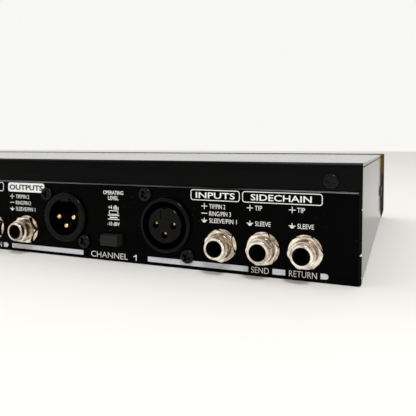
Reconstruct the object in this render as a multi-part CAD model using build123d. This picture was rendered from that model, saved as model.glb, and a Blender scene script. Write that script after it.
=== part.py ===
from build123d import *
import math
import os

os.makedirs("parts", exist_ok=True)

# Two-channel rack compressor, one rack unit high.  Millimetres, +Z up.
# The front panel faces -Y, the rear panel faces +Y, and the unit rests on Z = 0.
# The origin is the bottom centre of the whole object's bounding box.

# ---- driving dimensions -------------------------------------------------------
BODY_W = 440.0            # chassis width
BODY_H = 43.6             # chassis height, one rack unit less its gap
BODY_D = 175.0            # rear panel face to the back of the fascia
SHEET = 1.2               # steel sheet
BEND_R = 1.5              # outside radius of the folded edges
PLAY = 0.1                # gap between folded sheets
LID_GAP = 0.5             # side wall's top edge to the lid

FASCIA_T = 4.0
FASCIA_W = 442.8
FASCIA_H = 44.0
FASCIA_SPLIT = 30.0       # height where the two fascia pieces meet
FASCIA_CORNER = (1.4, 5.0)            # bevel of its lower corners, across and up
KNOB_REACH = 14.0         # fascia face to the knob's front face
JACK_REACH = 8.5          # rear panel face to the end of a jack's barrel

REAR = (BODY_D + FASCIA_T + KNOB_REACH - JACK_REACH) / 2
FRONT = REAR - BODY_D                 # back face of the fascia
FACE = FRONT - FASCIA_T               # front face of the fascia
INSIDE_FRONT = FRONT + SHEET          # inner face of the front subpanel
INSIDE_REAR = REAR - SHEET            # inner face of the rear panel
SIDE_X = BODY_W / 2 - SHEET           # inner face of a side wall
COVER_UNDER = BODY_H - SHEET
SEAM_Z = 33.6                         # lower edge of the cover's rear flange

# Rear connectors, measured inwards from the -X side of the chassis.
CHANNEL_PITCH = 149.3
JACK_Z = 10.87
JACK_PLACES = (19.66, 35.57, 52.41, 148.6)      # return, send, input, output
XLR_FEMALE = (76.4, 17.3)
XLR_MALE = (126.7, 17.7)
FEMALE_SCREW = (9.55, 12.05)
MALE_SCREW = (10.15, 10.05)
FEMALE_SHELL = (11.35, 9.85, 2.3)               # outer radius, inner radius, stand-out
MALE_SHELL = (11.05, 8.1, 1.8)
SHELL_PLAY = 0.35
CONTACT_R = 1.25
LEVEL_SWITCH = (101.9, 9.5)
INLET_X, INLET_Z = 158.0, 17.4
FUSE_X, FUSE_Z = 116.0, 17.4

JACK_BORE_R = 3.25
JACK_THREAD_R = 4.75

# Front panel.
CHANNEL_MID = (-112.0, 84.0)
KNOB_NAMES = ("threshold", "ratio", "attack", "release", "gain")
KNOB_STEP = 30.0
KNOB_FIRST = -75.0
KNOB_Z = 15.0
BUTTON_OFFSET = 68.0
BUTTON_ROWS = {"sidechain_button": 21.0, "bypass_button": 9.0}
LINK_X = -18.0
ROCKER_X = 198.0
ROCKER_PIVOT_Y = FACE + 5.0
METER_Z = 37.0
METER_W = 118.0
LED_COUNT = 16
LED_STEP = 7.0

SHAFT_R = 3.0
SHAFT_PLAY = 0.08
CONTROL_DEPTH = 8.0                   # subpanel to the front circuit board

# Circuit boards.
BOARD_T = 1.6
BOARD_Z = 3.0
BOARD_X = (-212.0, 118.0)
BOARD_Y = (-58.0, REAR - 7.0)
FRONT_BOARD_Y = INSIDE_FRONT + CONTROL_DEPTH
STANDOFFS = [(x, y) for x in (-200.0, -50.0, 106.0) for y in (-50.0, 52.0)]
TRANSFORMER = (172.0, 10.0)

COVER_SCREW_X = (-209.2, 0.0, 209.2)
COVER_SCREW_Z = 36.9
SIDE_SCREW_Y = REAR - 149.0
SIDE_SCREW_Z = 20.5


# ---- helpers ------------------------------------------------------------------
def block(x, y, z):
    """A box from its low and high X, Y and Z."""
    size = Box(x[1] - x[0], y[1] - y[0], z[1] - z[0])
    return Pos((x[0] + x[1]) / 2, (y[0] + y[1]) / 2, (z[0] + z[1]) / 2) * size


def rod_y(x, z, y0, y1, radius):
    """A cylinder along Y."""
    return Pos(x, (y0 + y1) / 2, z) * Rot(90, 0, 0) * Cylinder(radius, y1 - y0)


def rod_x(y, z, x0, x1, radius):
    """A cylinder along X."""
    return Pos((x0 + x1) / 2, y, z) * Rot(0, 90, 0) * Cylinder(radius, x1 - x0)


def rod_z(x, y, z0, z1, radius):
    """A cylinder along Z."""
    return Pos(x, y, (z0 + z1) / 2) * Cylinder(radius, z1 - z0)


def turned_y(x, z, y, steps):
    """Stepped rod along +Y from y: (length, radius) pairs, one after another."""
    result = None
    for length, radius in steps:
        piece = rod_y(x, z, y, y + length, radius)
        result = piece if result is None else result + piece
        y += length
    return result


def cross_cut(size, depth):
    """Cross recess for a screw, its mouth on Z = 0 and cut downwards."""
    arm = Pos(0, 0, -depth / 2) * Box(size, size * 0.33, depth)
    return arm + Rot(0, 0, 90) * arm


def pan_screw(head_r, head_h, shank_r, length):
    """Pan-head screw: the head's underside on Z = 0, the shank along -Z."""
    head = Cylinder(head_r, head_h, align=(Align.CENTER, Align.CENTER, Align.MIN))
    head = fillet(head.faces().sort_by(Axis.Z)[-1].edges(), head_h * 0.6)
    shank = Pos(0, 0, -length / 2) * Cylinder(shank_r, length)
    return head + shank - Pos(0, 0, head_h) * cross_cut(head_r * 1.2, head_h * 0.8)


def facing_rear(x, y, z, turn, shape):
    """Stand a Z-axis shape up so that its +Z points to +Y."""
    return Pos(x, y, z) * Rot(-90, 0, 0) * Rot(0, 0, turn) * shape


def sheet_along_x(points, x0, x1):
    """A solid with a Y-Z outline, from x0 to x1."""
    outline = Plane.YZ * make_face(Polyline(*points, close=True))
    return Pos(x0, 0, 0) * extrude(outline, amount=x1 - x0)


def both_channels(x):
    """The place of a channel's feature in the first and the second channel."""
    return (-BODY_W / 2 + x, -BODY_W / 2 + x + CHANNEL_PITCH)


def save(node, shapes):
    solids = [solid for shape in shapes for solid in shape.solids()]
    export_step(solids[0] if len(solids) == 1 else Compound(solids), f"parts/{node}.step")


JACK_XS = [x for place in JACK_PLACES for x in both_channels(place)]
FEMALE_XS = both_channels(XLR_FEMALE[0])
MALE_XS = both_channels(XLR_MALE[0])
LEVEL_XS = both_channels(LEVEL_SWITCH[0])
FEMALE_SCREWS = [(x + s * FEMALE_SCREW[0], XLR_FEMALE[1] + s * FEMALE_SCREW[1])
                 for x in FEMALE_XS for s in (1, -1)]
MALE_SCREWS = [(x + s * MALE_SCREW[0], XLR_MALE[1] + s * MALE_SCREW[1])
               for x in MALE_XS for s in (1, -1)]
INLET_SCREWS = [(INLET_X + s * 20.0, INLET_Z) for s in (1, -1)]
KNOB_XS = {f"{name}_knob_{number}": mid + KNOB_FIRST + step * KNOB_STEP
           for number, mid in enumerate(CHANNEL_MID, 1)
           for step, name in enumerate(KNOB_NAMES)}
BUTTONS = {f"{name}_{number}": (mid + BUTTON_OFFSET, z)
           for number, mid in enumerate(CHANNEL_MID, 1)
           for name, z in BUTTON_ROWS.items()}
BUTTONS["stereo_link_button"] = (LINK_X, KNOB_Z)


# ---- casing -------------------------------------------------------------------
def chassis_tray():
    outer = block((-BODY_W / 2, BODY_W / 2), (FRONT, REAR), (0, COVER_UNDER - LID_GAP))
    long_edges = outer.edges().filter_by(Axis.Y).group_by(Axis.Z)[0]
    outer = fillet(long_edges, BEND_R)
    inner = block((-SIDE_X, SIDE_X), (FRONT - 1, REAR + 1), (SHEET, BODY_H))
    behind_floor = block((-SIDE_X, SIDE_X), (INSIDE_REAR, REAR + 1), (-1, BODY_H))
    flange_notch = block((-BODY_W, BODY_W), (INSIDE_REAR - PLAY, REAR + 1), (SEAM_Z - PLAY, BODY_H))
    tray = outer - inner - behind_floor - flange_notch
    for side in (-1, 1):
        wall = (side * (SIDE_X - 1), side * (BODY_W / 2 + 1))
        tray -= rod_x(SIDE_SCREW_Y, SIDE_SCREW_Z, min(wall), max(wall), 1.7)
        for relief_z in (2.2, 40.6):
            tray -= rod_x(FRONT + 1.2, relief_z, min(wall), max(wall), 0.8)
    sink = Cone(2.95, 1.6, SHEET, align=(Align.CENTER, Align.CENTER, Align.MIN))
    return tray - [Pos(x, y, 0) * sink for x, y in STANDOFFS]


def rear_panel():
    lip = REAR - SHEET - PLAY
    outline = [(REAR, 0), (REAR, 32.5), (lip, 33.5), (lip, 41.9), (lip - SHEET, 41.9),
               (lip - SHEET, 33.0), (INSIDE_REAR, 32.0), (INSIDE_REAR, 2 * SHEET),
               (REAR - 12, 2 * SHEET), (REAR - 12, SHEET), (INSIDE_REAR, SHEET), (INSIDE_REAR, 0)]
    panel = sheet_along_x(outline, -SIDE_X + PLAY, SIDE_X - PLAY)
    through = (REAR - 4, REAR + 1)
    cuts = [rod_y(x, JACK_Z, *through, 4.95) for x in JACK_XS]
    cuts += [rod_y(x, XLR_FEMALE[1], *through, FEMALE_SHELL[0] + SHELL_PLAY) for x in FEMALE_XS]
    cuts += [rod_y(x, XLR_MALE[1], *through, MALE_SHELL[0] + SHELL_PLAY) for x in MALE_XS]
    cuts += [rod_y(x, z, *through, 1.6) for x, z in FEMALE_SCREWS + MALE_SCREWS + INLET_SCREWS]
    cuts += [rod_y(x, COVER_SCREW_Z, *through, 1.6) for x in COVER_SCREW_X]
    cuts += [block((x - 4.6, x + 4.6), through, (LEVEL_SWITCH[1] - 2.65, LEVEL_SWITCH[1] + 2.65))
             for x in LEVEL_XS]
    cuts.append(block((INLET_X - 14.2, INLET_X + 14.2), through, (INLET_Z - 10.4, INLET_Z + 10.4)))
    cuts.append(rod_y(FUSE_X, FUSE_Z, *through, 6.6))
    return panel - cuts


def top_cover():
    start = FRONT + 0.2
    outline = [(start, COVER_UNDER), (INSIDE_REAR, COVER_UNDER), (INSIDE_REAR, SEAM_Z),
               (REAR, SEAM_Z), (REAR, BODY_H), (start, BODY_H)]
    cover = sheet_along_x(outline, -BODY_W / 2, BODY_W / 2)
    bend = cover.edges().filter_by(Axis.X).filter_by_position(Axis.Y, REAR - 0.01, REAR + 0.01)
    cover = fillet(bend.sort_by(Axis.Z)[-1], 0.9)
    for side in (-1, 1):
        skirt = sorted((side * (SIDE_X - PLAY), side * (SIDE_X - PLAY - SHEET)))
        cover += block(skirt, (FRONT + 6, REAR - 8), (36.0, COVER_UNDER))
    return cover - [rod_y(x, COVER_SCREW_Z, REAR - 2, REAR + 1, 1.7) for x in COVER_SCREW_X]


def countersunk_screw():
    """Flat-head screw under the tray, its face on Z = 0."""
    head = Cone(2.85, 1.5, SHEET, align=(Align.CENTER, Align.CENTER, Align.MIN))
    return head + rod_z(0, 0, 0.6, SHEET + 0.3, 1.45) - Pos(0, 0, 0.9) * cross_cut(3.2, 0.9)


def casing_screws():
    rear = pan_screw(2.9, 1.5, 1.5, 8.0)
    screws = [facing_rear(x, REAR, COVER_SCREW_Z, 20 + x, rear) for x in COVER_SCREW_X]
    flat = pan_screw(3.25, 0.7, 1.6, 6.0)
    screws += [Pos(side * BODY_W / 2, SIDE_SCREW_Y, SIDE_SCREW_Z) * Rot(0, side * 90, 0) * flat
               for side in (-1, 1)]
    return screws + [Pos(x, y, 0) * countersunk_screw() for x, y in STANDOFFS]


# ---- front panel --------------------------------------------------------------
def front_subpanel():
    panel = block((-SIDE_X + PLAY, SIDE_X - PLAY), (FRONT, INSIDE_FRONT), (SHEET, 42.0))
    for side in (-1, 1):
        flange = sorted((side * (SIDE_X - PLAY), side * (SIDE_X - PLAY - SHEET)))
        panel += block(flange, (FRONT, FRONT + 32), (6.0, 34.0))
        screw = sorted((side * (SIDE_X - 3), side * BODY_W / 2))
        panel -= rod_x(SIDE_SCREW_Y, SIDE_SCREW_Z, *screw, 1.65)
    through = (FRONT - 1, INSIDE_FRONT + 1)
    cuts = [rod_y(x, KNOB_Z, *through, 3.7) for x in KNOB_XS.values()]
    cuts += [block((x - 3.0, x + 3.0), through, (z - 2.2, z + 2.2)) for x, z in BUTTONS.values()]
    cuts += [block((mid - METER_W / 2, mid + METER_W / 2), through, (METER_Z - 2.6, METER_Z + 2.6))
             for mid in CHANNEL_MID]
    cuts.append(block((ROCKER_X - 7.8, ROCKER_X + 7.8), through, (KNOB_Z - 11.8, KNOB_Z + 11.8)))
    return panel - cuts


def fascia_piece(z0, z1, corner=(0.0, 0.0)):
    """Fascia plate from z0 to z1, its lower corners cut back by (x, z)."""
    half = FASCIA_W / 2
    outline = [(-half + corner[0], z0), (half - corner[0], z0), (half, z0 + corner[1]), (half, z1),
               (-half, z1), (-half, z0 + corner[1])]
    outline = list(dict.fromkeys(outline))
    piece = Pos(0, FRONT, 0) * extrude(Plane.XZ * make_face(Polyline(*outline, close=True)), amount=FASCIA_T)
    ends = piece.edges().filter_by(Axis.Z).filter_by_position(Axis.Y, FACE - 0.01, FACE + 0.01)
    return fillet(ends, 0.8)


def fascia_lower_panel():
    cuts = []
    for x in KNOB_XS.values():
        cuts.append(rod_y(x, KNOB_Z, FACE - 1, FRONT + 1, 4.2))
        cuts.append(rod_y(x, KNOB_Z, FRONT - 2.6, FRONT + 1, 6.4))
    for x, z in BUTTONS.values():
        cuts.append(block((x - 4.2, x + 4.2), (FACE - 1, FRONT + 1), (z - 2.9, z + 2.9)))
    cuts.append(block((ROCKER_X - 7.8, ROCKER_X + 7.8), (FACE - 1, FRONT + 1),
                      (KNOB_Z - 11.8, KNOB_Z + 11.8)))
    return fascia_piece(0, FASCIA_SPLIT, FASCIA_CORNER) - cuts


def fascia_upper_trim():
    cuts = [block((mid - METER_W / 2 - 2, mid + METER_W / 2 + 2), (FACE - 1, FRONT + 1),
                  (METER_Z - 3.6, METER_Z + 3.6)) for mid in CHANNEL_MID]
    return fascia_piece(FASCIA_SPLIT, FASCIA_H) - cuts


def meter_windows():
    windows = []
    for mid in CHANNEL_MID:
        pane = block((mid - METER_W / 2 - 1.95, mid + METER_W / 2 + 1.95),
                     (FACE + 0.4, FACE + 2.0), (METER_Z - 3.55, METER_Z + 3.55))
        windows.append(pane)
    return windows


def meter_leds():
    leds = []
    for mid in CHANNEL_MID:
        for step in range(LED_COUNT):
            x = mid + (step - (LED_COUNT - 1) / 2) * LED_STEP
            leds.append(block((x - 2.2, x + 2.2), (FACE + 2.4, FRONT_BOARD_Y),
                              (METER_Z - 1.2, METER_Z + 1.2)))
    return leds


def front_board():
    rocker_end = ROCKER_X - 14
    return block((-212, rocker_end), (FRONT_BOARD_Y, FRONT_BOARD_Y + BOARD_T), (6.0, 40.5))


def knob(x):
    """Fluted knob with its D shaft; the pointer groove is at the top."""
    back = FACE - 0.8
    length = KNOB_REACH - 0.8
    body = Cone(6.5, 5.6, length, align=(Align.CENTER, Align.CENTER, Align.MIN))
    body = fillet(body.faces().sort_by(Axis.Z)[-1].edges(), 0.7)
    flutes = [Rot(0, 0, 15 + 30 * step) * Pos(7.0, 0, 2.4 + length / 2) * Cylinder(1.1, length)
              for step in range(12)]
    pointer = Pos(0, -3.4, length) * Box(0.9, 5.2, 0.8)
    skirt_groove = Pos(0, -6.3, 1.2) * Box(0.9, 1.4, 3.0)
    bore = Pos(0, 0, 4.5) * Cylinder(SHAFT_R + 0.02, 9.0)
    body = body - flutes - pointer - skirt_groove - bore
    body = Pos(x, back, KNOB_Z) * Rot(90, 0, 0) * Rot(0, 0, 180) * body
    shaft = rod_y(x, KNOB_Z, back - 8.9, INSIDE_FRONT + 4.0, SHAFT_R)
    flat = block((x - 4, x + 4), (back - 9, back - 1), (KNOB_Z + 2.2, KNOB_Z + 4))
    return [body, shaft - flat]


def potentiometers():
    bodies = []
    for x in KNOB_XS.values():
        body = block((x - 5.5, x + 5.5), (INSIDE_FRONT, FRONT_BOARD_Y), (KNOB_Z - 7, KNOB_Z + 6))
        body = chamfer(body.edges().filter_by(Axis.Y), 1.0)
        bushing = rod_y(x, KNOB_Z, FRONT - 3.6, INSIDE_FRONT, 3.5)
        bore = rod_y(x, KNOB_Z, FRONT - 5, INSIDE_FRONT + 4.4, SHAFT_R + SHAFT_PLAY)
        bodies.append(body + bushing - bore)
    return bodies


def retaining_nuts():
    """Nuts of the potentiometers and of the fuse holder."""
    small = extrude(RegularPolygon(5.6, 6) - Circle(3.5), amount=2.0)
    large = extrude(RegularPolygon(9.0, 6) - Circle(6.42), amount=2.5)
    nuts = [facing_rear(x, FRONT - 2.0, KNOB_Z, 0, small) for x in KNOB_XS.values()]
    return nuts + [facing_rear(FUSE_X, INSIDE_REAR - 2.5, FUSE_Z, 0, large)]


def front_button(x, z):
    """Push button cap on its stem."""
    cap = block((x - 3.9, x + 3.9), (FACE - 3.5, FACE + 1.5), (z - 2.6, z + 2.6))
    cap = fillet(cap.faces().sort_by(Axis.Y)[0].edges(), 0.5)
    return [cap + block((x - 1.6, x + 1.6), (FACE + 1.5, INSIDE_FRONT + 1.4), (z - 1.6, z + 1.6))]


def front_switch_bodies():
    bodies = []
    for x, z in BUTTONS.values():
        body = block((x - 5, x + 5), (INSIDE_FRONT, FRONT_BOARD_Y), (z - 5, z + 5))
        well = block((x - 1.9, x + 1.9), (FRONT, INSIDE_FRONT + 4.0), (z - 1.9, z + 1.9))
        bodies.append(body - well)
    return bodies


def power_switch_body():
    bezel = block((ROCKER_X - 9, ROCKER_X + 9), (FACE - 1.6, FACE), (KNOB_Z - 13.3, KNOB_Z + 13.3))
    bezel = fillet(bezel.faces().sort_by(Axis.Y)[0].edges(), 0.7)
    body = bezel + block((ROCKER_X - 7.6, ROCKER_X + 7.6), (FACE, FACE + 24),
                         (KNOB_Z - 11.6, KNOB_Z + 11.6))
    half = 6.6
    cavity = rod_x(ROCKER_PIVOT_Y, KNOB_Z, ROCKER_X - half, ROCKER_X + half, 10.7)
    mouth = block((ROCKER_X - half, ROCKER_X + half), (FACE - 3, ROCKER_PIVOT_Y),
                  (KNOB_Z - 10.7, KNOB_Z + 10.7))
    pivots = rod_x(ROCKER_PIVOT_Y, KNOB_Z, ROCKER_X - 7.3, ROCKER_X + 7.3, 1.35)
    terminals = [block((ROCKER_X - 3, ROCKER_X + 3), (FACE + 24, FACE + 32), (KNOB_Z + z - 0.4,
                 KNOB_Z + z + 0.4)) for z in (-6.0, 0.0)]
    return [body - cavity - mouth - pivots] + terminals


def power_rocker():
    """Rocker with a shallow V face, resting with its lower half pressed in."""
    reach = ROCKER_PIVOT_Y - FACE + 2.6
    edge = 10.2 * math.sin(math.radians(52))
    drop = edge * math.tan(math.radians(10))
    outline = [(-reach + drop, 0), (-reach, edge), (-reach, 11), (3, 11), (3, -11), (-reach, -11),
               (-reach, -edge)]
    wedge = sheet_along_x(outline, -6.3, 6.3)
    barrel = rod_x(0, 0, -6.3, 6.3, 10.2)
    rocker = wedge & barrel
    rocker += rod_x(0, 0, -7.2, 7.2, 1.3)
    return [Pos(ROCKER_X, ROCKER_PIVOT_Y, KNOB_Z) * Rot(10, 0, 0) * rocker]


# ---- rear connectors ----------------------------------------------------------
def jack_bushings():
    bushings = []
    for x in JACK_XS:
        flange = rod_y(x, JACK_Z, INSIDE_REAR - 1.5, INSIDE_REAR, 6.0)
        barrel = turned_y(x, JACK_Z, INSIDE_REAR - 1.5, [(1.5 + SHEET + 6.2, JACK_THREAD_R),
                                                         (JACK_REACH - 6.2, 4.2)])
        rim = barrel.faces().sort_by(Axis.Y)[-1].edges()
        barrel = fillet(rim, 0.35)
        for step in range(3):
            y = REAR + 3.7 + 0.85 * step
            groove = rod_y(x, JACK_Z, y, y + 0.35, 6) - rod_y(x, JACK_Z, y - 1, y + 1, JACK_THREAD_R - 0.3)
            barrel -= groove
        bushings.append(flange + barrel - rod_y(x, JACK_Z, REAR - 5, REAR + 10, JACK_BORE_R))
    return bushings


def jack_washers():
    return [rod_y(x, JACK_Z, REAR, REAR + 0.8, 6.35)
            - rod_y(x, JACK_Z, REAR - 1, REAR + 2, JACK_THREAD_R + 0.05) for x in JACK_XS]


def jack_nuts():
    bottom = (Align.CENTER, Align.CENTER, Align.MIN)
    nut = extrude(RegularPolygon(6.5, 6) - Circle(JACK_THREAD_R + 0.03), amount=2.2)
    nut = nut & Cone(7.7, 6.15, 2.2, align=bottom)
    nut = nut - Pos(0, 0, 1.8) * Cone(JACK_THREAD_R, 5.15, 0.4, align=bottom)
    turns = [6, 24, 10, -8, 41, 17, 2, 33]
    return [facing_rear(x, REAR + 0.8, JACK_Z, turn, nut) for x, turn in zip(JACK_XS, turns)]


def jack_bodies():
    bodies = []
    for x in JACK_XS:
        back = INSIDE_REAR - 1.5
        body = block((x - 7, x + 7), (back - 24, back), (BOARD_Z + BOARD_T, JACK_Z + 8))
        bodies.append(body - rod_y(x, JACK_Z, back - 21, back + 1, 4.8))
    return bodies


def jack_contacts():
    """Tip springs inside the jack bodies."""
    contacts = []
    for x in JACK_XS:
        y = INSIDE_REAR - 22.5
        contacts.append(block((x - 1.6, x + 1.6), (y, y + 12), (JACK_Z - 4.3, JACK_Z - 3.6)))
    return contacts


def xlr_shell(x, z, shell, floor_y, flange_h, screws):
    """Flanged round shell, open to the rear and closed at floor_y."""
    outer_r, inner_r, reach = shell
    flange = block((x - 13, x + 13), (INSIDE_REAR - 2, INSIDE_REAR), (z - flange_h / 2, z + flange_h / 2))
    flange = fillet(flange.edges().filter_by(Axis.Y), 3.0)
    barrel = rod_y(x, z, floor_y - 2, REAR + reach, outer_r)
    barrel = fillet(barrel.faces().sort_by(Axis.Y)[-1].edges(), 1.0)
    shell = flange + barrel - rod_y(x, z, floor_y, REAR + 4, inner_r)
    return shell - [rod_y(sx, sz, INSIDE_REAR - 3, REAR, 1.25) for sx, sz in screws]


def pin_places(x, z):
    return [(x - 4, z), (x + 4, z), (x, z - 4)]


def xlr_female_shells():
    floor_y = REAR - 17
    shells = []
    for index, x in enumerate(FEMALE_XS):
        screws = FEMALE_SCREWS[2 * index:2 * index + 2]
        shell = xlr_shell(x, XLR_FEMALE[1], FEMALE_SHELL, floor_y, 28.6, screws)
        shell -= [rod_y(px, pz, floor_y - 3, floor_y + 1, CONTACT_R + 0.05)
                  for px, pz in pin_places(x, XLR_FEMALE[1])]
        shells.append(shell)
    return shells


def xlr_female_inserts():
    inserts = []
    for x in FEMALE_XS:
        z = XLR_FEMALE[1]
        insert = rod_y(x, z, REAR - 17, REAR + 2.0, 7.5)
        insert = chamfer(insert.faces().sort_by(Axis.Y)[-1].edges(), 0.3)
        cuts = [rod_y(px, pz, REAR - 18, REAR + 3, CONTACT_R + 0.1) for px, pz in pin_places(x, z)]
        cuts.append(block((x - 2.0, x + 2.0), (REAR + 1.6, REAR + 3), (z + 2.6, z + 6.0)))
        cuts.append(block((x - 0.5, x + 0.5), (REAR - 4, REAR + 3), (z + 6.6, z + 9.0)))
        inserts.append(insert - cuts)
    return inserts


def xlr_female_contacts():
    """Contact rods, each with a narrow leaf at the top of its hole."""
    contacts = []
    for x in FEMALE_XS:
        for px, pz in pin_places(x, XLR_FEMALE[1]):
            leaf = rod_y(px, pz, REAR - 6, REAR + 0.9, CONTACT_R)
            leaf &= block((px - 0.4, px + 0.4), (REAR - 6, REAR + 1), (pz + 0.3, pz + 2))
            contacts.append(rod_y(px, pz, REAR - 20, REAR - 6, CONTACT_R) + leaf)
    return contacts


def xlr_male_shells():
    floor_y = REAR - 13
    shells = []
    for index, x in enumerate(MALE_XS):
        z = XLR_MALE[1]
        shell = xlr_shell(x, z, MALE_SHELL, floor_y, 27.6, MALE_SCREWS[2 * index:2 * index + 2])
        key = block((x - 2.5, x + 2.5), (floor_y - 1, REAR + 0.9), (z + 7.0, z + 9.0))
        step = rod_y(x, z, REAR + 0.9, REAR + 3, 9.1)
        notch = block((x - 9.4, x - 2.6), (REAR, REAR + 3), (z + 3.0, z + 9.0))
        shell = shell + key - (step & notch)
        shell -= [rod_y(px, pz, floor_y - 3, floor_y + 1, 1.2) for px, pz in pin_places(x, z)]
        shells.append(shell)
    return shells


def xlr_male_pins():
    pins = []
    for x in MALE_XS:
        for px, pz in pin_places(x, XLR_MALE[1]):
            pin = rod_y(px, pz, REAR - 19, REAR + 0.6, 1.2)
            pins.append(fillet(pin.faces().sort_by(Axis.Y)[-1].edges(), 1.0))
    return pins


def connector_screws():
    screw = pan_screw(3.0, 1.6, 1.22, 6.0)
    places = FEMALE_SCREWS + MALE_SCREWS
    screws = [facing_rear(x, REAR, z, 30 + 37 * index, screw)
              for index, (x, z) in enumerate(places)]
    screws += [facing_rear(x, REAR + 2.5, z, 45, screw) for x, z in INLET_SCREWS]
    return screws


def level_switch_bodies():
    bodies = []
    z = LEVEL_SWITCH[1]
    for x in LEVEL_XS:
        body = block((x - 6, x + 6), (INSIDE_REAR - 16, INSIDE_REAR - 4.2), (BOARD_Z + BOARD_T, z + 5))
        bodies.append(body - block((x - 2.3, x + 2.3), (INSIDE_REAR - 13, REAR), (z - 2.0, z + 2.0)))
    return bodies


def level_button(x):
    z = LEVEL_SWITCH[1]
    cap = block((x - 4.2, x + 4.2), (INSIDE_REAR - 1.0, REAR + 4.0), (z - 2.25, z + 2.25))
    cap = fillet(cap.faces().sort_by(Axis.Y)[-1].edges(), 0.35)
    stem = block((x - 2.0, x + 2.0), (INSIDE_REAR - 9.8, INSIDE_REAR - 1.0), (z - 1.7, z + 1.7))
    return [cap + stem]


def inlet_body():
    flange = block((INLET_X - 24.5, INLET_X + 24.5), (REAR, REAR + 2.5), (INLET_Z - 13.5, INLET_Z + 13.5))
    flange = fillet(flange.edges().filter_by(Axis.Y), 4.0)
    flange = fillet(flange.faces().sort_by(Axis.Y)[-1].edges(), 0.5)
    body = block((INLET_X - 13.9, INLET_X + 13.9), (REAR - 20, REAR + 1), (INLET_Z - 10.1, INLET_Z + 10.1))
    cavity = block((INLET_X - 12, INLET_X + 12), (REAR - 14.5, REAR + 3), (INLET_Z - 8.2, INLET_Z + 8.2))
    upper = cavity.edges().filter_by(Axis.Y).group_by(Axis.Z)[-1]
    cavity = chamfer(upper, 4.5)
    cuts = [cavity] + [rod_y(x, z, REAR - 1, REAR + 3, 1.7) for x, z in INLET_SCREWS]
    cuts += inlet_pin_blanks(0.0)
    return flange + body - cuts


def inlet_pin_blanks(trim):
    """Line, neutral and earth blades of the mains inlet."""
    y = (REAR - 26, REAR + 0.5)
    sides = [block((INLET_X + s * 7 - 1, INLET_X + s * 7 + 1), y,
                   (INLET_Z - 4 + trim, INLET_Z - trim)) for s in (-1, 1)]
    return sides + [block((INLET_X - 2, INLET_X + 2), y, (INLET_Z + 2, INLET_Z + 4))]


def fuse_holder():
    flange = rod_y(FUSE_X, FUSE_Z, REAR, REAR + 2.0, 8.2)
    flange = fillet(flange.faces().sort_by(Axis.Y)[-1].edges(), 0.5)
    tube = rod_y(FUSE_X, FUSE_Z, REAR - 30, REAR, 6.4)
    return flange + tube - rod_y(FUSE_X, FUSE_Z, REAR - 28, REAR + 3, 5.1)


def fuse_cap():
    head = rod_y(FUSE_X, FUSE_Z, REAR + 2.3, REAR + 8.0, 6.6)
    head = fillet(head.faces().sort_by(Axis.Y)[-1].edges(), 0.8)
    grips = [Pos(FUSE_X, REAR + 5.6, FUSE_Z) * Rot(0, 20 * step, 0) * Pos(7.0, 0, 0)
             * Rot(90, 0, 0) * Cylinder(0.8, 7.0) for step in range(18)]
    slot = block((FUSE_X - 4.5, FUSE_X + 4.5), (REAR + 6.6, REAR + 9), (FUSE_Z - 0.6, FUSE_Z + 0.6))
    stem = rod_y(FUSE_X, FUSE_Z, REAR - 5, REAR + 2.3, 4.8)
    socket = rod_y(FUSE_X, FUSE_Z, REAR - 6, REAR + 1, 2.52)
    return head - grips - slot + stem - socket


def fuse():
    return rod_y(FUSE_X, FUSE_Z, REAR - 19.2, REAR + 0.8, 2.5)


# ---- inside -------------------------------------------------------------------
def main_board():
    board = block(BOARD_X, BOARD_Y, (BOARD_Z, BOARD_Z + BOARD_T))
    return board - [rod_z(x, y, 0, 10, 1.6) for x, y in STANDOFFS]


def board_standoffs():
    return [rod_z(x, y, SHEET, BOARD_Z, 3.0) - rod_z(x, y, SHEET, BOARD_Z + 1, 1.5)
            for x, y in STANDOFFS]


def board_screws():
    screw = pan_screw(2.8, 1.6, 1.45, 3.0)
    return [Pos(x, y, BOARD_Z + BOARD_T) * screw for x, y in STANDOFFS]


def integrated_circuits():
    chips = []
    for mid in (-145.0, 4.0):
        for column in range(4):
            for row in range(2):
                x = mid - 42 + 28 * column
                y = -32 + 30 * row
                chip = block((x - 5, x + 5), (y - 3.2, y + 3.2), (BOARD_Z + BOARD_T, BOARD_Z + BOARD_T + 3.6))
                chips.append(chip)
    return chips


def filter_capacitors():
    return [rod_z(x, y, BOARD_Z + BOARD_T, BOARD_Z + BOARD_T + 25, 8.0)
            for x in (74.0, 94.0) for y in (-30.0, -8.0)]


def regulator_heatsink():
    z0 = BOARD_Z + BOARD_T
    sink = block((64.0, 108.0), (14.0, 16.0), (z0, z0 + 24))
    fins = [block((x - 0.6, x + 0.6), (16.0, 24.0), (z0, z0 + 24)) for x in range(66, 108, 5)]
    for fin in fins:
        sink += fin
    return sink


def voltage_regulators():
    z0 = BOARD_Z + BOARD_T
    return [block((x - 5, x + 5), (9.4, 14.0), (z0 + 6, z0 + 22)) for x in (76.0, 96.0)]


def transformer_core():
    x, y = TRANSFORMER
    core = block((x - 24, x + 24), (y - 10, y + 10), (SHEET, SHEET + 36))
    return core - [block((x + s * 11.75 - 4.25, x + s * 11.75 + 4.25), (y - 11, y + 11),
                         (SHEET + 6, SHEET + 30)) for s in (-1, 1)]


def transformer_coil():
    x, y = TRANSFORMER
    coil = block((x - 15.9, x + 15.9), (y - 19, y + 19), (SHEET + 6.1, SHEET + 29.9))
    coil = fillet(coil.edges().filter_by(Axis.Z), 4.0)
    return coil - block((x - 7.55, x + 7.55), (y - 10.05, y + 10.05), (SHEET, SHEET + 36))


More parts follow.
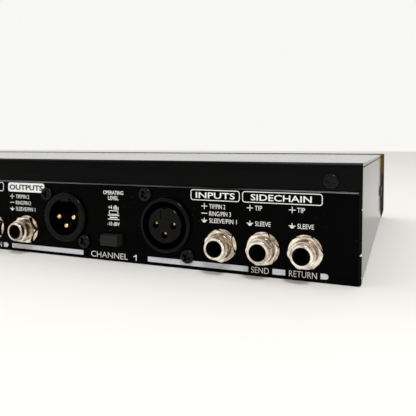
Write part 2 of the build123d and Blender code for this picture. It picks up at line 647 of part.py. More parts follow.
def transformer_bracket():
    x, y = TRANSFORMER
    bracket = block((x - 25.1, x + 25.1), (y - 7, y + 7), (SHEET, SHEET + 37.2))
    bracket -= block((x - 24, x + 24), (y - 8, y + 8), (0, SHEET + 36))
    for side in (-1, 1):
        foot = sorted((x + side * 25.1, x + side * 33))
        bracket += block(foot, (y - 7, y + 7), (SHEET, SHEET + 1.1))
        bracket += block(sorted((x + side * 24, x + side * 25.1)), (y - 7, y + 7), (SHEET, SHEET + 2))
    return bracket


def ribbon_cable():
    """Flat cable from the front board down to the main board."""
    start = FRONT_BOARD_Y + BOARD_T
    end = start + 20
    path = FilletPolyline((start, 28), (start + 10, 28), (start + 12, 16), (end, 16),
                          (end, BOARD_Z + BOARD_T), radius=3.5)
    band = Plane.YZ * trace(path, 1.0)
    return [Pos(x - 14, 0, 0) * extrude(band, amount=28.0) for x in (-100.0, 50.0)]


def main():
    save("chassis_tray", [chassis_tray()])
    save("rear_panel", [rear_panel()])
    save("top_cover", [top_cover()])
    save("casing_screws", casing_screws())
    save("front_subpanel", [front_subpanel()])
    save("fascia_lower_panel", [fascia_lower_panel()])
    save("fascia_upper_trim", [fascia_upper_trim()])
    save("meter_windows", meter_windows())
    save("meter_leds", meter_leds())
    save("front_board", [front_board()])
    for name, x in KNOB_XS.items():
        save(name, knob(x))
    save("potentiometers", potentiometers())
    save("retaining_nuts", retaining_nuts())
    for name, (x, z) in BUTTONS.items():
        save(name, front_button(x, z))
    save("front_switch_bodies", front_switch_bodies())
    save("power_switch_body", power_switch_body())
    save("power_rocker", power_rocker())
    save("jack_bushings", jack_bushings())
    save("jack_washers", jack_washers())
    save("jack_nuts", jack_nuts())
    save("jack_bodies", jack_bodies())
    save("jack_contacts", jack_contacts())
    save("xlr_female_shells", xlr_female_shells())
    save("xlr_female_inserts", xlr_female_inserts())
    save("xlr_female_contacts", xlr_female_contacts())
    save("xlr_male_shells", xlr_male_shells())
    save("xlr_male_pins", xlr_male_pins())
    save("connector_screws", connector_screws())
    save("level_switch_bodies", level_switch_bodies())
    for number, x in enumerate(LEVEL_XS, 1):
        save(f"level_button_{number}", level_button(x))
    save("inlet_body", [inlet_body()])
    save("inlet_pins", inlet_pin_blanks(0.02))
    save("fuse_holder", [fuse_holder()])
    save("fuse_cap", [fuse_cap()])
    save("fuse", [fuse()])
    save("main_board", [main_board()])
    save("board_standoffs", board_standoffs())
    save("board_screws", board_screws())
    save("integrated_circuits", integrated_circuits())
    save("filter_capacitors", filter_capacitors())
    save("regulator_heatsink", [regulator_heatsink()])
    save("voltage_regulators", voltage_regulators())
    save("transformer_core", [transformer_core()])
    save("transformer_coil", [transformer_coil()])
    save("transformer_bracket", [transformer_bracket()])
    save("ribbon_cable", ribbon_cable())


main()
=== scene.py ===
import math

import bmesh
import bpy
from mathutils import Matrix, Vector


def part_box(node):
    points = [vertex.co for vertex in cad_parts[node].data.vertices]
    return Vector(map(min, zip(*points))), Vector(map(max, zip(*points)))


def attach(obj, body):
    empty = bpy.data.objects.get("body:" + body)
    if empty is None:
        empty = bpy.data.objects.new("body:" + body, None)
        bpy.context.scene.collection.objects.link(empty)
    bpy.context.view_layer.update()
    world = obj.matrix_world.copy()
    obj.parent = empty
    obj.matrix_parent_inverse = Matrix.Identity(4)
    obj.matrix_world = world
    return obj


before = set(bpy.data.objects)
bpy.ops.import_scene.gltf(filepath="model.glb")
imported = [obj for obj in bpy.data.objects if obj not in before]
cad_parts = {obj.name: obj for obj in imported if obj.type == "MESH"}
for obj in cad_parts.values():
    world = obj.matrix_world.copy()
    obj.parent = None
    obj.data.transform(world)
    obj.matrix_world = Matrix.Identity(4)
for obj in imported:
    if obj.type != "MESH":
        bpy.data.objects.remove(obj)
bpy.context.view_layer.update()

MM = 0.001
CASING = "casing"
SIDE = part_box("chassis_tray")[0][0]         # outer face of the side wall at -X
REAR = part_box("rear_panel")[1][1]           # rear face of the rear panel
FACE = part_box("fascia_lower_panel")[0][1]   # front face of the fascia
INK = 0.04 * MM                             # how far printed ink stands proud

# Camera: its place from the side wall, the rear panel and the table in mm, and where it looks.
CAMERA_PLACE = (-12.19, 173.98, 49.73)
CAMERA_FORWARD = (0.3744, -0.9263, -0.0420)
CAMERA_LENS = 41.37
CAMERA_SHIFT = -0.102

# Studio: colours of the surroundings and of the floor, and the floor's size in metres.
WHITE_WALL = (0.94, 0.935, 0.915, 1.0)
DIM_WALL = (0.62, 0.61, 0.59, 1.0)
WARM_WALL = (0.82, 0.79, 0.73, 1.0)
FLOOR_PAPER = (0.855, 0.85, 0.83, 1.0)
FLOOR_SIZE = 8.0

# Heights of the painted highlights along bends and seams in the black coat, in mm above the table.
SEAM_HIGHLIGHT = (32.75, 33.25)
LID_EDGE_HIGHLIGHT = (42.9, 43.45)
SIDE_EDGE_HIGHLIGHT = (41.6, 42.2)

# Rear printing, in mm: places of one channel's connectors are measured inwards from the side.
CHANNEL_PITCH = 149.3
TITLE_BOX = (28.0, 32.3)                    # low and high edges of the boxes round the titles
TITLE_WORD = (28.9, 31.3)
TITLE_CORNER = 1.1
TITLE_LINE = 0.3
BAR_BAND = (1.35, 3.45)
CHANNEL_WORD = (1.1, 3.6)
FOOT_WORD = (1.2, 3.5)
SMALL_HALF = 0.9                            # half the height of the small words beside the marks
MARK_HALF = 1.25                            # half the width of a plus, minus or earth mark
PLUS_RISE = 1.15                            # half the height of a plus mark
STROKE_HALF = 0.14
INPUT_MARKS = 59.7
OUTPUT_MARKS = 157.9
ROUND_STEPS = 6                             # straight pieces in a rounded corner

# Outline offsets that make words lighter or heavier.
THIN = -0.008
HEAVY = 0.01
TITLE_HEAVY = 0.012
LABEL_HEAVY = 0.03

# Front printing, in mm.
CHANNEL_MID = (-112.0, 84.0)                # middle of each channel's controls on the fascia
KNOB_Z = 15.0
KNOB_PITCH = 30.0
FIRST_KNOB = -75.0
KNOB_TRAVEL = 150                           # degrees each way from the middle of the dial
BUTTON_X = 68.0                             # middle of a channel's two buttons
DIAL_RADIUS = 7.9
LED_PITCH = 7.0
LED_ROW = 110.0                             # about the length of one row of lenses


# ---- camera, floor and lights -------------------------------------------------
def add_camera():
    """View of the rear from just outside the side wall, a little above the lid."""
    data = bpy.data.cameras.new("camera")
    data.lens = CAMERA_LENS
    data.sensor_width = 36.0
    data.shift_y = CAMERA_SHIFT
    data.clip_start = 0.005
    camera = bpy.data.objects.new("camera", data)
    place = Vector((SIDE, REAR, 0)) + Vector(CAMERA_PLACE) * MM
    turn = Vector(CAMERA_FORWARD).to_track_quat("-Z", "Y").to_matrix().to_4x4()
    camera.matrix_world = Matrix.Translation(place) @ turn
    bpy.context.collection.objects.link(camera)
    bpy.context.scene.camera = camera


def add_area(name, place, target, size, power):
    """Square area light that looks at the target."""
    data = bpy.data.lights.new(name, "AREA")
    data.size = size
    data.energy = power
    light = bpy.data.objects.new(name, data)
    direction = Vector(target) - Vector(place)
    turn = direction.to_track_quat("-Z", "Y").to_matrix().to_4x4()
    light.matrix_world = Matrix.Translation(place) @ turn
    bpy.context.collection.objects.link(light)


def add_world():
    """Pale studio: white behind and above the unit, dimmer behind the camera, warmer to one side."""
    world = bpy.data.worlds.new("studio")
    world.use_nodes = True
    tree = world.node_tree
    direction = tree.nodes.new("ShaderNodeSeparateXYZ")
    tree.links.new(tree.nodes.new("ShaderNodeTexCoord").outputs["Generated"], direction.inputs["Vector"])
    colour = None
    for axis, start, end, tone in (("Y", -0.2, 0.75, DIM_WALL), ("X", -0.25, -0.95, WARM_WALL)):
        blend = tree.nodes.new("ShaderNodeMapRange")
        blend.inputs["From Min"].default_value = start
        blend.inputs["From Max"].default_value = end
        tree.links.new(direction.outputs[axis], blend.inputs["Value"])
        mix = tree.nodes.new("ShaderNodeMix")
        mix.data_type = "RGBA"
        sockets = [i for i in mix.inputs if i.type == "RGBA"]
        sockets[0].default_value = WHITE_WALL
        sockets[1].default_value = tone
        if colour is not None:
            tree.links.new(colour, sockets[0])
        tree.links.new(blend.outputs["Result"], mix.inputs["Factor"])
        colour = [o for o in mix.outputs if o.type == "RGBA"][0]
    tree.links.new(colour, tree.nodes["Background"].inputs["Color"])
    bpy.context.scene.world = world


def add_stage():
    """Lights and a pale paper floor just under the unit."""
    bpy.context.scene.view_settings.view_transform = "Standard"
    add_area("overhead", (-0.45, 0.55, 0.85), (0, 0.05, 0), 0.2, 4.3)
    add_area("fill", (0.9, -0.5, 1.0), (0, 0, 0), 0.9, 1.3)
    bpy.ops.mesh.primitive_plane_add(size=FLOOR_SIZE, location=(0, 0, -0.05 * MM))
    floor = bpy.context.object
    floor.name = "floor"
    paper = bpy.data.materials.new("paper")
    paper.use_nodes = True
    shader = paper.node_tree.nodes["Principled BSDF"]
    shader.inputs["Base Color"].default_value = FLOOR_PAPER
    shader.inputs["Roughness"].default_value = 0.75
    shader.inputs["Specular IOR Level"].default_value = 0.15
    floor.data.materials.append(paper)


# ---- materials ----------------------------------------------------------------
class Finish:
    """Small builder for a Principled material whose looks come from noise in object space."""

    def __init__(self, name, rough, metal=0.0, specular=0.5):
        self.material = bpy.data.materials.new(name)
        self.material.use_nodes = True
        self.tree = self.material.node_tree
        self.shader = self.tree.nodes["Principled BSDF"]
        self.set("Metallic", metal)
        self.set("Roughness", rough)
        self.set("Specular IOR Level", specular)
        self.coords = self.tree.nodes.new("ShaderNodeTexCoord").outputs["Object"]

    def set(self, socket, value):
        self.shader.inputs[socket].default_value = value

    def link(self, output, socket):
        self.tree.links.new(output, socket)

    def noise(self, scale, stretch=(1, 1, 1), detail=4.0):
        mapping = self.tree.nodes.new("ShaderNodeMapping")
        mapping.inputs["Scale"].default_value = stretch
        self.link(self.coords, mapping.inputs["Vector"])
        node = self.tree.nodes.new("ShaderNodeTexNoise")
        node.inputs["Scale"].default_value = scale
        node.inputs["Detail"].default_value = detail
        self.link(mapping.outputs["Vector"], node.inputs["Vector"])
        return node.outputs["Fac"]

    def ramp(self, factor, stops):
        """Colour ramp over (place, colour) stops."""
        node = self.tree.nodes.new("ShaderNodeValToRGB")
        while len(node.color_ramp.elements) < len(stops):
            node.color_ramp.elements.new(0.5)
        for element, (place, colour) in zip(node.color_ramp.elements, stops):
            element.position = place
            element.color = (*colour, 1.0)
        self.link(factor, node.inputs["Fac"])
        return node.outputs["Color"]

    def mix(self, factor, low, high):
        """Blend of two colours, or of a colour and an output."""
        node = self.tree.nodes.new("ShaderNodeMix")
        node.data_type = "RGBA"
        self.link(factor, node.inputs["Factor"])
        for socket, value in (("A", low), ("B", high)):
            target = [i for i in node.inputs if i.name == socket and i.type == "RGBA"][0]
            if isinstance(value, tuple):
                target.default_value = (*value, 1.0)
            else:
                self.link(value, target)
        return [o for o in node.outputs if o.type == "RGBA"][0]

    def band(self, low, high):
        """One between two heights and broken up by noise, zero elsewhere."""
        separate = self.tree.nodes.new("ShaderNodeSeparateXYZ")
        self.link(self.coords, separate.inputs["Vector"])
        inside = self.tree.nodes.new("ShaderNodeMath")
        inside.operation = "COMPARE"
        self.link(separate.outputs["Z"], inside.inputs[0])
        inside.inputs[1].default_value = (low + high) / 2
        inside.inputs[2].default_value = (high - low) / 2
        patchy = self.ramp(self.noise(14, detail=3), [(0.38, (0.1, 0.1, 0.1)), (0.62, (1, 1, 1))])
        product = self.tree.nodes.new("ShaderNodeMath")
        product.operation = "MULTIPLY"
        self.link(inside.outputs["Value"], product.inputs[0])
        self.link(patchy, product.inputs[1])
        return product.outputs["Value"]

    def colour(self, output):
        self.link(output, self.shader.inputs["Base Color"])

    def roughness(self, factor, low, high):
        node = self.tree.nodes.new("ShaderNodeMapRange")
        node.inputs["To Min"].default_value = low
        node.inputs["To Max"].default_value = high
        self.link(factor, node.inputs["Value"])
        self.link(node.outputs["Result"], self.shader.inputs["Roughness"])

    def bump(self, factor, strength, distance=0.2 * MM):
        node = self.tree.nodes.new("ShaderNodeBump")
        node.inputs["Strength"].default_value = strength
        node.inputs["Distance"].default_value = distance
        self.link(factor, node.inputs["Height"])
        self.link(node.outputs["Normal"], self.shader.inputs["Normal"])


def coat(name, rough, tone, edge, highlight_colour, stretch):
    """Gloss black powder coat with streaks, dust specks and a painted highlight between two heights, where a
    bend or seam catches the light.
    """
    f = Finish(name, rough[0], specular=0.05)
    streaks = f.noise(30, stretch, detail=6)
    paint = f.ramp(streaks, [(0.25, tuple(0.4 * c for c in tone)), (0.85, tone)])
    specks = f.ramp(f.noise(900, detail=2), [(0.0, (0, 0, 0)), (0.735, (0, 0, 0)), (0.76, (1, 1, 1))])
    paint = f.mix(specks, paint, (0.08, 0.08, 0.078))
    low, high = edge
    # Painted highlight: a lighter colour between two heights stands in for light caught along a bend or seam.
    f.colour(f.mix(f.band(low * MM, high * MM), paint, highlight_colour))
    f.roughness(streaks, *rough)
    f.bump(f.noise(1400, detail=1), 0.03)
    return f


def rear_black():
    # The light blue-grey band under the seam is a painted highlight where the top bend of the rear panel
    # catches the overhead light.
    f = coat("rear_black", (0.2, 0.3), (0.0016, 0.0016, 0.0016), SEAM_HIGHLIGHT, (0.42, 0.42, 0.48),
             (3, 1, 3))
    f.set("Specular IOR Level", 0.02)
    return f.material


def lid_black():
    # The faint blue-grey band along the rear bend of the lid is a painted highlight.
    return coat("lid_black", (0.01, 0.2), (0.003, 0.003, 0.003), LID_EDGE_HIGHLIGHT, (0.03, 0.03, 0.042),
                (1, 9, 9)).material


def side_black():
    # The faint lighter band near the top of the side wall is a painted highlight along its bend.
    return coat("side_black", (0.07, 0.12), (0.004, 0.0038, 0.0034), SIDE_EDGE_HIGHLIGHT, (0.02, 0.02, 0.02),
                (5, 5, 1)).material


def plated(name, dark, light, rough, metal=1.0):
    """Plated or machined metal with an uneven tone and fine scratches."""
    f = Finish(name, rough, metal)
    f.colour(f.ramp(f.noise(300, (1, 2, 1)), [(0.33, dark), (0.6, light)]))
    f.roughness(f.noise(900, (4, 1, 4)), rough * 0.7, rough * 1.5)
    f.bump(f.noise(1500, (6, 1, 6), detail=2), 0.06, 0.05 * MM)
    return f.material


def moulded(name, dark, light, rough, grain=2500, specular=0.35):
    """Moulded plastic with a fine spark-eroded grain."""
    f = Finish(name, rough, specular=specular)
    f.colour(f.ramp(f.noise(220), [(0.3, dark), (0.75, light)]))
    f.roughness(f.noise(400), rough * 0.85, min(1.0, rough * 1.2))
    f.bump(f.noise(grain, detail=2), 0.25, 0.06 * MM)
    return f.material


def worn_screw():
    """Black oxide screw, a little greyer where the oxide is worn."""
    f = Finish("worn_screw", 0.16, specular=0.17)
    worn = f.ramp(f.noise(1500, detail=3), [(0.0, (0, 0, 0)), (0.58, (0, 0, 0)), (0.72, (1, 1, 1))])
    f.colour(f.mix(worn, (0.0012, 0.0012, 0.0012), (0.012, 0.0115, 0.0105)))
    f.bump(f.noise(2400, detail=2), 0.15, 0.05 * MM)
    return f.material


def printed(name, colour, worn):
    """Silk-screen ink with slightly uneven cover."""
    f = Finish(name, 0.5, specular=0.3)
    f.colour(f.ramp(f.noise(1800, detail=3), [(0.3, worn), (0.55, colour)]))
    f.bump(f.noise(3000, detail=1), 0.1, 0.04 * MM)
    return f.material


def brushed_bronze():
    """Bronze anodised strip, brushed along its length."""
    f = Finish("brushed_bronze", 0.3, 0.9)
    f.colour(f.ramp(f.noise(90, (1, 1, 26)), [(0.25, (0.13, 0.075, 0.012)), (0.8, (0.24, 0.15, 0.03))]))
    f.roughness(f.noise(200, (1, 1, 30)), 0.22, 0.42)
    f.bump(f.noise(240, (1, 1, 40), detail=2), 0.2, 0.04 * MM)
    return f.material


def circuit_green():
    """Solder mask with traces as a fine woven pattern."""
    f = Finish("circuit_green", 0.35)
    traces = f.ramp(f.noise(110, (1, 3, 1), detail=1),
                    [(0.46, (0, 0, 0)), (0.5, (1, 1, 1)), (0.54, (0, 0, 0))])
    f.colour(f.mix(traces, (0.012, 0.075, 0.028), (0.03, 0.15, 0.06)))
    f.roughness(f.noise(300), 0.25, 0.45)
    return f.material


def smoked_window():
    """Dark smoked acrylic that lets a little light through."""
    f = Finish("smoked_window", 0.06)
    f.colour(f.ramp(f.noise(120), [(0.3, (0.05, 0.022, 0.018)), (0.8, (0.07, 0.032, 0.026))]))
    f.set("Transmission Weight", 0.25)
    f.set("IOR", 1.49)
    return f.material


def clear_glass():
    """Glass tube of the fuse."""
    f = Finish("clear_glass", 0.05)
    f.colour(f.ramp(f.noise(200), [(0.3, (0.8, 0.85, 0.85)), (0.8, (0.9, 0.95, 0.95))]))
    f.set("Transmission Weight", 0.9)
    return f.material


def led_lens():
    """Diffused lenses, green at the low end of each meter and red at the top."""
    f = Finish("led_lens", 0.3)
    separate = f.tree.nodes.new("ShaderNodeSeparateXYZ")
    f.link(f.coords, separate.inputs["Vector"])
    place = f.tree.nodes.new("ShaderNodeMath")
    place.operation = "WRAP"
    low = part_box("meter_leds")[0][0]
    place.inputs[1].default_value = low + (CHANNEL_MID[1] - CHANNEL_MID[0]) * MM
    place.inputs[2].default_value = low
    f.link(separate.outputs["X"], place.inputs[0])
    scaled = f.tree.nodes.new("ShaderNodeMapRange")
    scaled.inputs["From Min"].default_value = low
    scaled.inputs["From Max"].default_value = low + LED_ROW * MM
    f.link(place.outputs["Value"], scaled.inputs["Value"])
    lens = f.ramp(scaled.outputs["Result"], [(0.0, (0.05, 0.45, 0.06)), (0.58, (0.07, 0.5, 0.06)),
                                             (0.62, (0.65, 0.32, 0.02)), (0.8, (0.65, 0.3, 0.02)),
                                             (0.84, (0.6, 0.03, 0.02))])
    f.colour(f.mix(f.noise(500), lens, (0.25, 0.2, 0.16)))
    return f.material


def dress_nodes():
    """Give every CAD node its finish."""
    nickel = plated("bright_nickel", (0.42, 0.34, 0.26), (0.98, 0.91, 0.81), 0.15)
    zinc = plated("zinc_plate", (0.42, 0.42, 0.4), (0.62, 0.62, 0.6), 0.32)
    brass = plated("spring_brass", (0.5, 0.26, 0.08), (0.75, 0.45, 0.18), 0.25)
    gold = plated("gold_flash", (0.8, 0.55, 0.2), (1.0, 0.78, 0.4), 0.2)
    screw = worn_screw()
    connector = moulded("connector_black", (0.0006, 0.0006, 0.0006), (0.0014, 0.0014, 0.0014), 0.16,
                        specular=0.11)
    part_black = moulded("component_black", (0.012, 0.012, 0.012), (0.03, 0.03, 0.03), 0.5)
    gloss_black = moulded("switch_black", (0.008, 0.008, 0.008), (0.014, 0.014, 0.014), 0.25)
    knob_black = moulded("knob_black", (0.012, 0.012, 0.012), (0.022, 0.022, 0.021), 0.45)
    grey = moulded("button_grey", (0.011, 0.0105, 0.0098), (0.021, 0.020, 0.0185), 0.4, specular=0.12)
    fascia = moulded("fascia_dark", (0.022, 0.021, 0.018), (0.036, 0.035, 0.03), 0.38, 1600)
    board = circuit_green()
    finishes = {
        "chassis_tray": side_black(), "rear_panel": rear_black(), "top_cover": lid_black(),
        "casing_screws": screw, "connector_screws": screw,
        "fascia_lower_panel": fascia, "fascia_upper_trim": brushed_bronze(),
        "front_subpanel": zinc, "board_standoffs": zinc, "board_screws": zinc, "retaining_nuts": zinc,
        "transformer_bracket": zinc, "meter_windows": smoked_window(), "meter_leds": led_lens(),
        "main_board": board, "front_board": board, "jack_bushings": nickel, "jack_washers": nickel,
        "jack_nuts": nickel, "jack_contacts": brass, "xlr_female_contacts": brass, "xlr_male_pins": gold,
        "xlr_female_shells": connector, "xlr_female_inserts": connector, "xlr_male_shells": connector,
        "potentiometers": part_black, "front_switch_bodies": part_black, "level_switch_bodies": part_black,
        "jack_bodies": part_black, "integrated_circuits": part_black, "voltage_regulators": part_black,
        "power_switch_body": gloss_black, "power_rocker": gloss_black, "inlet_body": gloss_black,
        "fuse_holder": gloss_black, "fuse_cap": gloss_black,
        "inlet_pins": plated("blade_nickel", (0.5, 0.48, 0.44), (0.75, 0.72, 0.68), 0.25),
        "fuse": clear_glass(),
        "filter_capacitors": moulded("capacitor_sleeve", (0.01, 0.015, 0.04), (0.015, 0.025, 0.07), 0.3),
        "regulator_heatsink": plated("black_anodise", (0.02, 0.02, 0.02), (0.04, 0.04, 0.04), 0.45,
                                     metal=0.6),
        "transformer_core": plated("laminations", (0.1, 0.09, 0.085), (0.2, 0.19, 0.18), 0.5),
        "transformer_coil": moulded("coil_tape", (0.5, 0.33, 0.05), (0.65, 0.45, 0.09), 0.35),
        "ribbon_cable": moulded("ribbon_grey", (0.3, 0.3, 0.3), (0.4, 0.4, 0.4), 0.45),
    }
    for name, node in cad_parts.items():
        if name in finishes:
            finish = finishes[name]
        elif "_knob_" in name:
            finish = knob_black
        else:
            finish = grey
        node.data.materials.clear()
        node.data.materials.append(finish)


# ---- printed legends ----------------------------------------------------------
class Print:
    """Flat ink shapes in millimetres, which to_world places: a point across, one up, and how far proud."""

    def __init__(self, name, finish, to_world, body=CASING):
        self.bm = bmesh.new()
        self.name, self.finish, self.to_world, self.body = name, finish, to_world, body

    def text(self, words, left, right, low, high, bold=0.0):
        """Words stretched to fill the given rectangle."""
        curve = bpy.data.curves.new("words", "FONT")
        curve.body = words
        curve.offset = bold
        curve.resolution_u = 3
        curve.extrude = 0.5
        holder = bpy.data.objects.new("words", curve)
        mesh = bpy.data.meshes.new_from_object(holder)
        xs = [v.co.x for v in mesh.vertices]
        ys = [v.co.y for v in mesh.vertices]
        x0, width = min(xs), max(xs) - min(xs)
        y0, height = min(ys), max(ys) - min(ys)
        for vertex in mesh.vertices:
            across = left + (vertex.co.x - x0) / width * (right - left)
            up = low + (vertex.co.y - y0) / height * (high - low)
            vertex.co = self.to_world(across, up, INK if vertex.co.z > 0 else -INK)
        self.bm.from_mesh(mesh)
        bpy.data.meshes.remove(mesh)
        bpy.data.objects.remove(holder)
        bpy.data.curves.remove(curve)

    def plate(self, outline, hole=None):
        """A flat patch of ink with an optional hole of as many points."""
        front = [self.bm.verts.new(self.to_world(a, b, INK)) for a, b in outline]
        back = [self.bm.verts.new(self.to_world(a, b, -INK)) for a, b in outline]
        count = len(outline)
        for i in range(count):
            j = (i + 1) % count
            self.bm.faces.new((front[i], front[j], back[j], back[i]))
        if hole is None:
            self.bm.faces.new(front)
            self.bm.faces.new(back[::-1])
            return
        inner = [self.bm.verts.new(self.to_world(a, b, INK)) for a, b in hole]
        under = [self.bm.verts.new(self.to_world(a, b, -INK)) for a, b in hole]
        for i in range(count):
            j = (i + 1) % count
            self.bm.faces.new((front[i], inner[i], inner[j], front[j]))
            self.bm.faces.new((inner[i], under[i], under[j], inner[j]))
            self.bm.faces.new((back[i], back[j], under[j], under[i]))

    def bar(self, left, right, low, high):
        self.plate([(left, low), (right, low), (right, high), (left, high)])

    def pill(self, left, right, low, high, radius, line=None):
        """Rounded box, filled or as a line of the given width."""
        outer = rounded(left, right, low, high, radius)
        if line is None:
            self.plate(outer)
            return
        step = math.copysign(line, right - left)
        self.plate(outer, rounded(left + step, right - step, low + line, high - line, radius - line))

    def finish_piece(self):
        """Make the ink one named piece that rides on its body."""
        bmesh.ops.recalc_face_normals(self.bm, faces=self.bm.faces)
        mesh = bpy.data.meshes.new(self.name)
        self.bm.to_mesh(mesh)
        self.bm.free()
        mesh.materials.append(self.finish)
        piece = bpy.data.objects.new(self.name, mesh)
        bpy.context.collection.objects.link(piece)
        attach(piece, self.body)


def rounded(left, right, low, high, radius):
    """Outline of a rounded rectangle; left may be the larger value."""
    sign = 1 if right > left else -1
    points = []
    corners = [(right - sign * radius, high - radius, 0), (left + sign * radius, high - radius, 90),
               (left + sign * radius, low + radius, 180), (right - sign * radius, low + radius, 270)]
    for a, b, start in corners:
        for k in range(ROUND_STEPS + 1):
            angle = math.radians(start + 90 * k / ROUND_STEPS)
            points.append((a + sign * radius * math.cos(angle), b + radius * math.sin(angle)))
    return points


def on_rear(number):
    """Placing on the rear panel for one channel: u inwards from the side for the first, z up."""
    shift = (number - 1) * CHANNEL_PITCH

    def place(u, z, proud):
        return Vector((SIDE + (u + shift) * MM, REAR + proud, z * MM))
    return place


def on_front(x, z, proud):
    """Placing on the fascia: x along it, z up."""
    return Vector((x * MM, FACE - proud, z * MM))


def plus(p, u, z):
    p.bar(u + MARK_HALF, u - MARK_HALF, z - STROKE_HALF, z + STROKE_HALF)
    p.bar(u + STROKE_HALF, u - STROKE_HALF, z - PLUS_RISE, z + PLUS_RISE)


def minus(p, u, z):
    p.bar(u + MARK_HALF, u - MARK_HALF, z - STROKE_HALF, z + STROKE_HALF)


def earth(p, u, z):
    """Ground mark: a stem on a wide bar, with a filled dome below it."""
    p.bar(u + STROKE_HALF, u - STROKE_HALF, z, z + 1.0)
    p.bar(u + MARK_HALF, u - MARK_HALF, z - 0.12, z + 0.16)
    dome = [(u + 0.8 * math.cos(math.radians(a)), z - 0.2 - 0.75 * math.sin(math.radians(a)))
            for a in range(0, 181, 20)]
    p.plate(dome)


def pin_words(p, marks, left, heights, ends):
    """Plus, minus and earth marks of a balanced connector, each with its words from left to its end."""
    pins = (("TIP/PIN 2", plus), ("RING/PIN 3", minus), ("SLEEVE/PIN 1", earth))
    for (words, mark), z, end in zip(pins, heights, ends):
        mark(p, marks, z)
        p.text(words, left, end, z - SMALL_HALF, z + SMALL_HALF)


def sidechain_words(p):
    """Plus and earth marks above the send and return jacks, each with its words."""
    for u, left in ((40.9, 39.0), (24.7, 22.9)):
        plus(p, u, 26.0)
        p.text("TIP", left, left - 2.9, 26.0 - SMALL_HALF, 26.0 + SMALL_HALF)
        earth(p, u, 20.1)
        p.text("SLEEVE", left - 0.15, left - 6.2, 20.1 - SMALL_HALF, 20.1 + SMALL_HALF)


def level_words(p):
    """Title, two levels and the button's out and in pictures above a level button."""
    p.text("OPERATING", 107.0, 96.9, 28.7, 30.35, HEAVY)
    p.text("LEVEL", 104.5, 99.3, 26.35, 28.07, HEAVY)
    p.text("+4 dBu", 104.4, 99.3, 22.3, 24.1, HEAVY)
    p.text("-10 dBV", 104.9, 98.8, 15.3, 16.9, HEAVY)
    p.pill(104.1, 99.5, 20.1, 21.9, 0.2, 0.28)
    p.bar(104.7, 98.9, 19.6, 19.9)
    p.bar(103.7, 99.9, 18.6, 19.1)
    p.bar(104.7, 98.9, 17.9, 18.25)


def channel_number(p, number):
    """The numeral 1 has a short flag and no foot; other numerals come from the font."""
    low, high = CHANNEL_WORD
    if number == 1:
        p.plate([(91.0, low), (90.6, low), (90.6, high), (91.0, high), (91.3, 3.2), (92.1, 2.95), (92.1, 2.6),
                 (91.0, 2.85)])
    else:
        p.text(str(number), 92.4, 90.3, low, high, THIN)


def rear_legend(number, ink):
    """One channel's printing on the rear panel."""
    p = Print(f"rear_legend_{number}", ink, on_rear(number))
    p.pill(65.6, 45.0, *TITLE_BOX, TITLE_CORNER, TITLE_LINE)
    p.text("INPUTS", 63.4, 47.0, *TITLE_WORD, TITLE_HEAVY)
    p.pill(44.0, 13.7, *TITLE_BOX, TITLE_CORNER, TITLE_LINE)
    p.text("SIDECHAIN", 40.6, 17.6, *TITLE_WORD, TITLE_HEAVY)
    pin_words(p, INPUT_MARKS, 57.6, (25.8, 22.97, 20.2), (50.9, 48.6, 46.2))
    pin_words(p, OUTPUT_MARKS, 155.7, (25.8, 22.9, 20.0), (147.7, 146.8, 144.2))
    sidechain_words(p)
    level_words(p)
    p.text("CHANNEL", 113.5, 94.9, *CHANNEL_WORD, THIN)
    channel_number(p, number)
    p.text("SEND", 40.3, 33.4, *FOOT_WORD, THIN)
    p.text("RETURN", 25.7, 15.5, *FOOT_WORD, THIN)
    p.finish_piece()

    filled = Print(f"rear_label_{number}", ink, on_rear(number))
    filled.pill(160.2, 138.8, *TITLE_BOX, TITLE_CORNER)
    filled.finish_piece()


def rear_bars(number, silver):
    """Silver bars along the foot of the panel; the last has a round end."""
    bars = Print(f"rear_bars_{number}", silver, on_rear(number))
    low, high = BAR_BAND
    for left, right in ((158.4, 117.6), (85.2, 41.5), (32.0, 27.1)):
        bars.bar(left, right, low, high)
    left, round_start = 14.2, 12.45
    radius = (high - low) / 2
    middle = (low + high) / 2
    tip = [(round_start - radius * math.cos(math.radians(a)), middle + radius * math.sin(math.radians(a)))
           for a in range(-75, 76, 15)]
    bars.plate([(left, low), (round_start, low), *tip, (round_start, high), (left, high)])
    bars.finish_piece()


def outputs_word(number, black_ink):
    """Dark word on the filled label, a hair above it."""
    base = on_rear(number)
    p = Print(f"outputs_word_{number}", black_ink, lambda u, z, proud: base(u, z, proud + 0.8 * INK))
    p.text("OUTPUTS", 159.4, 139.7, 28.9, 31.4, LABEL_HEAVY)
    p.finish_piece()


def knob_pointer(node, paint):
    """Painted line in the pointer groove of a knob; it turns with the knob."""
    low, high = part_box(node)
    floor = low[1] + 0.4 * MM
    middle = (low[0] + high[0]) / 2

    def in_groove(x, z, proud):
        return Vector((middle + x * MM, floor - proud, z * MM))

    p = Print(f"{node}_pointer", paint, in_groove, node)
    p.bar(-0.42, 0.42, KNOB_Z + 0.9, KNOB_Z + 4.8)
    p.finish_piece()


def knob_scale(p, x, name):
    """Dial ticks, end numbers and the name of one knob."""
    for step in range(11):
        angle = math.radians(KNOB_TRAVEL * (step - 5) / 5)
        across, up = math.sin(angle), math.cos(angle)
        far = DIAL_RADIUS + (1.4 if step in (0, 5, 10) else 0.9)
        side = (0.12 * up, -0.12 * across)
        ends = [(DIAL_RADIUS, 1), (far, 1), (far, -1), (DIAL_RADIUS, -1)]
        p.plate([(x + reach * across + sign * side[0], KNOB_Z + reach * up + sign * side[1])
                 for reach, sign in ends])
    p.text("0", x - 7.0, x - 6.1, 5.0, 6.6)
    p.text("10", x + 5.4, x + 7.2, 5.0, 6.6)
    half = 0.78 * len(name)
    p.text(name, x - half, x + half, 26.3, 28.1)


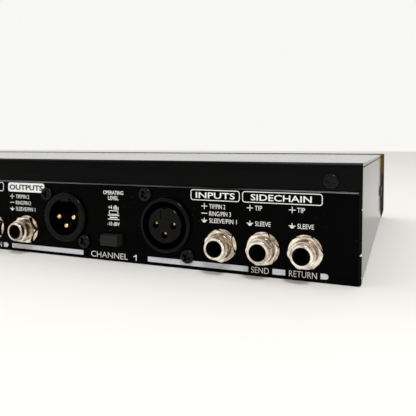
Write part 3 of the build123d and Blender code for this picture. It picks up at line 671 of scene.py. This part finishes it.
def meter_scale(p, mid):
    """Decibel numbers above the window and what each half shows below it."""
    numbers = ("30", "24", "18", "12", "9", "6", "3", "1", "-24", "-18", "-12", "-6", "-3", "0", "+3", "+6")
    for step, word in enumerate(numbers):
        x = mid + (step - (len(numbers) - 1) / 2) * LED_PITCH
        half = 0.62 * len(word)
        p.text(word, x - half, x + half, 41.3, 42.9)
    p.text("GAIN REDUCTION dB", mid - 39, mid - 18, 30.7, 32.3)
    p.text("LEVEL dB", mid + 23, mid + 33, 30.7, 32.3)


def front_legend(number, mid, ink):
    """One channel's printing on the fascia."""
    p = Print(f"front_legend_{number}", ink, on_front)
    for step, name in enumerate(("THRESHOLD", "RATIO", "ATTACK", "RELEASE", "GAIN")):
        knob_scale(p, mid + FIRST_KNOB + KNOB_PITCH * step, name)
    buttons = mid + BUTTON_X
    p.text("S.C.", buttons - 2.2, buttons + 2.2, 24.6, 26.2)
    p.text("IN", buttons - 1.2, buttons + 1.2, 12.6, 14.2)
    p.text(f"CHANNEL {number}", mid - 24, mid - 6, 1.5, 3.3)
    meter_scale(p, mid)
    p.finish_piece()


def switch_legend(ink):
    """Words beside the link button, the power rocker, the fuse and the mains inlet."""
    p = Print("front_legend_switches", ink, on_front)
    p.text("LINK", -21.5, -14.5, 19.2, 20.9)
    p.text("POWER", 192.0, 204.0, 34.5, 36.4)
    p.finish_piece()
    rear = Print("rear_legend_mains", ink, on_rear(1))
    rear.text("FUSE", 340.0, 332.0, 27.6, 29.5, HEAVY)
    rear.text("MAINS", 414.0, 406.0, 15.4, 17.4, HEAVY)
    rear.finish_piece()


def paint_chips(bare):
    """Bright metal where the coat is knocked off the rear edge of the side wall."""
    p = Print("paint_chips", bare, on_rear(1))
    p.plate([(0.0, 10.9), (0.55, 10.75), (0.8, 11.0), (0.45, 11.3), (0.25, 11.8), (0.02, 11.9)])
    p.plate([(0.0, 26.9), (0.14, 27.0), (0.2, 27.5), (0.02, 27.7)])
    p.plate([(0.0, 3.0), (0.2, 3.1), (0.1, 3.5), (0.0, 3.6)])
    p.finish_piece()


def add_legends():
    """All printing and paint chips."""
    ink = printed("white_ink", (0.93, 0.93, 0.92), (0.66, 0.66, 0.66))
    silver = printed("silver_ink", (0.66, 0.67, 0.71), (0.5, 0.51, 0.54))
    black_ink = printed("black_ink", (0.01, 0.01, 0.01), (0.03, 0.03, 0.03))
    for number in (1, 2):
        rear_legend(number, ink)
        rear_bars(number, silver)
        outputs_word(number, black_ink)
        front_legend(number, CHANNEL_MID[number - 1], ink)
    switch_legend(ink)
    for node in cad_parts:
        if "_knob_" in node:
            knob_pointer(node, ink)
    paint_chips(printed("bare_steel", (0.75, 0.74, 0.72), (0.5, 0.49, 0.47)))


# ---- main ---------------------------------------------------------------------
add_camera()
add_world()
add_stage()
dress_nodes()
add_legends()

bpy.context.view_layer.update()
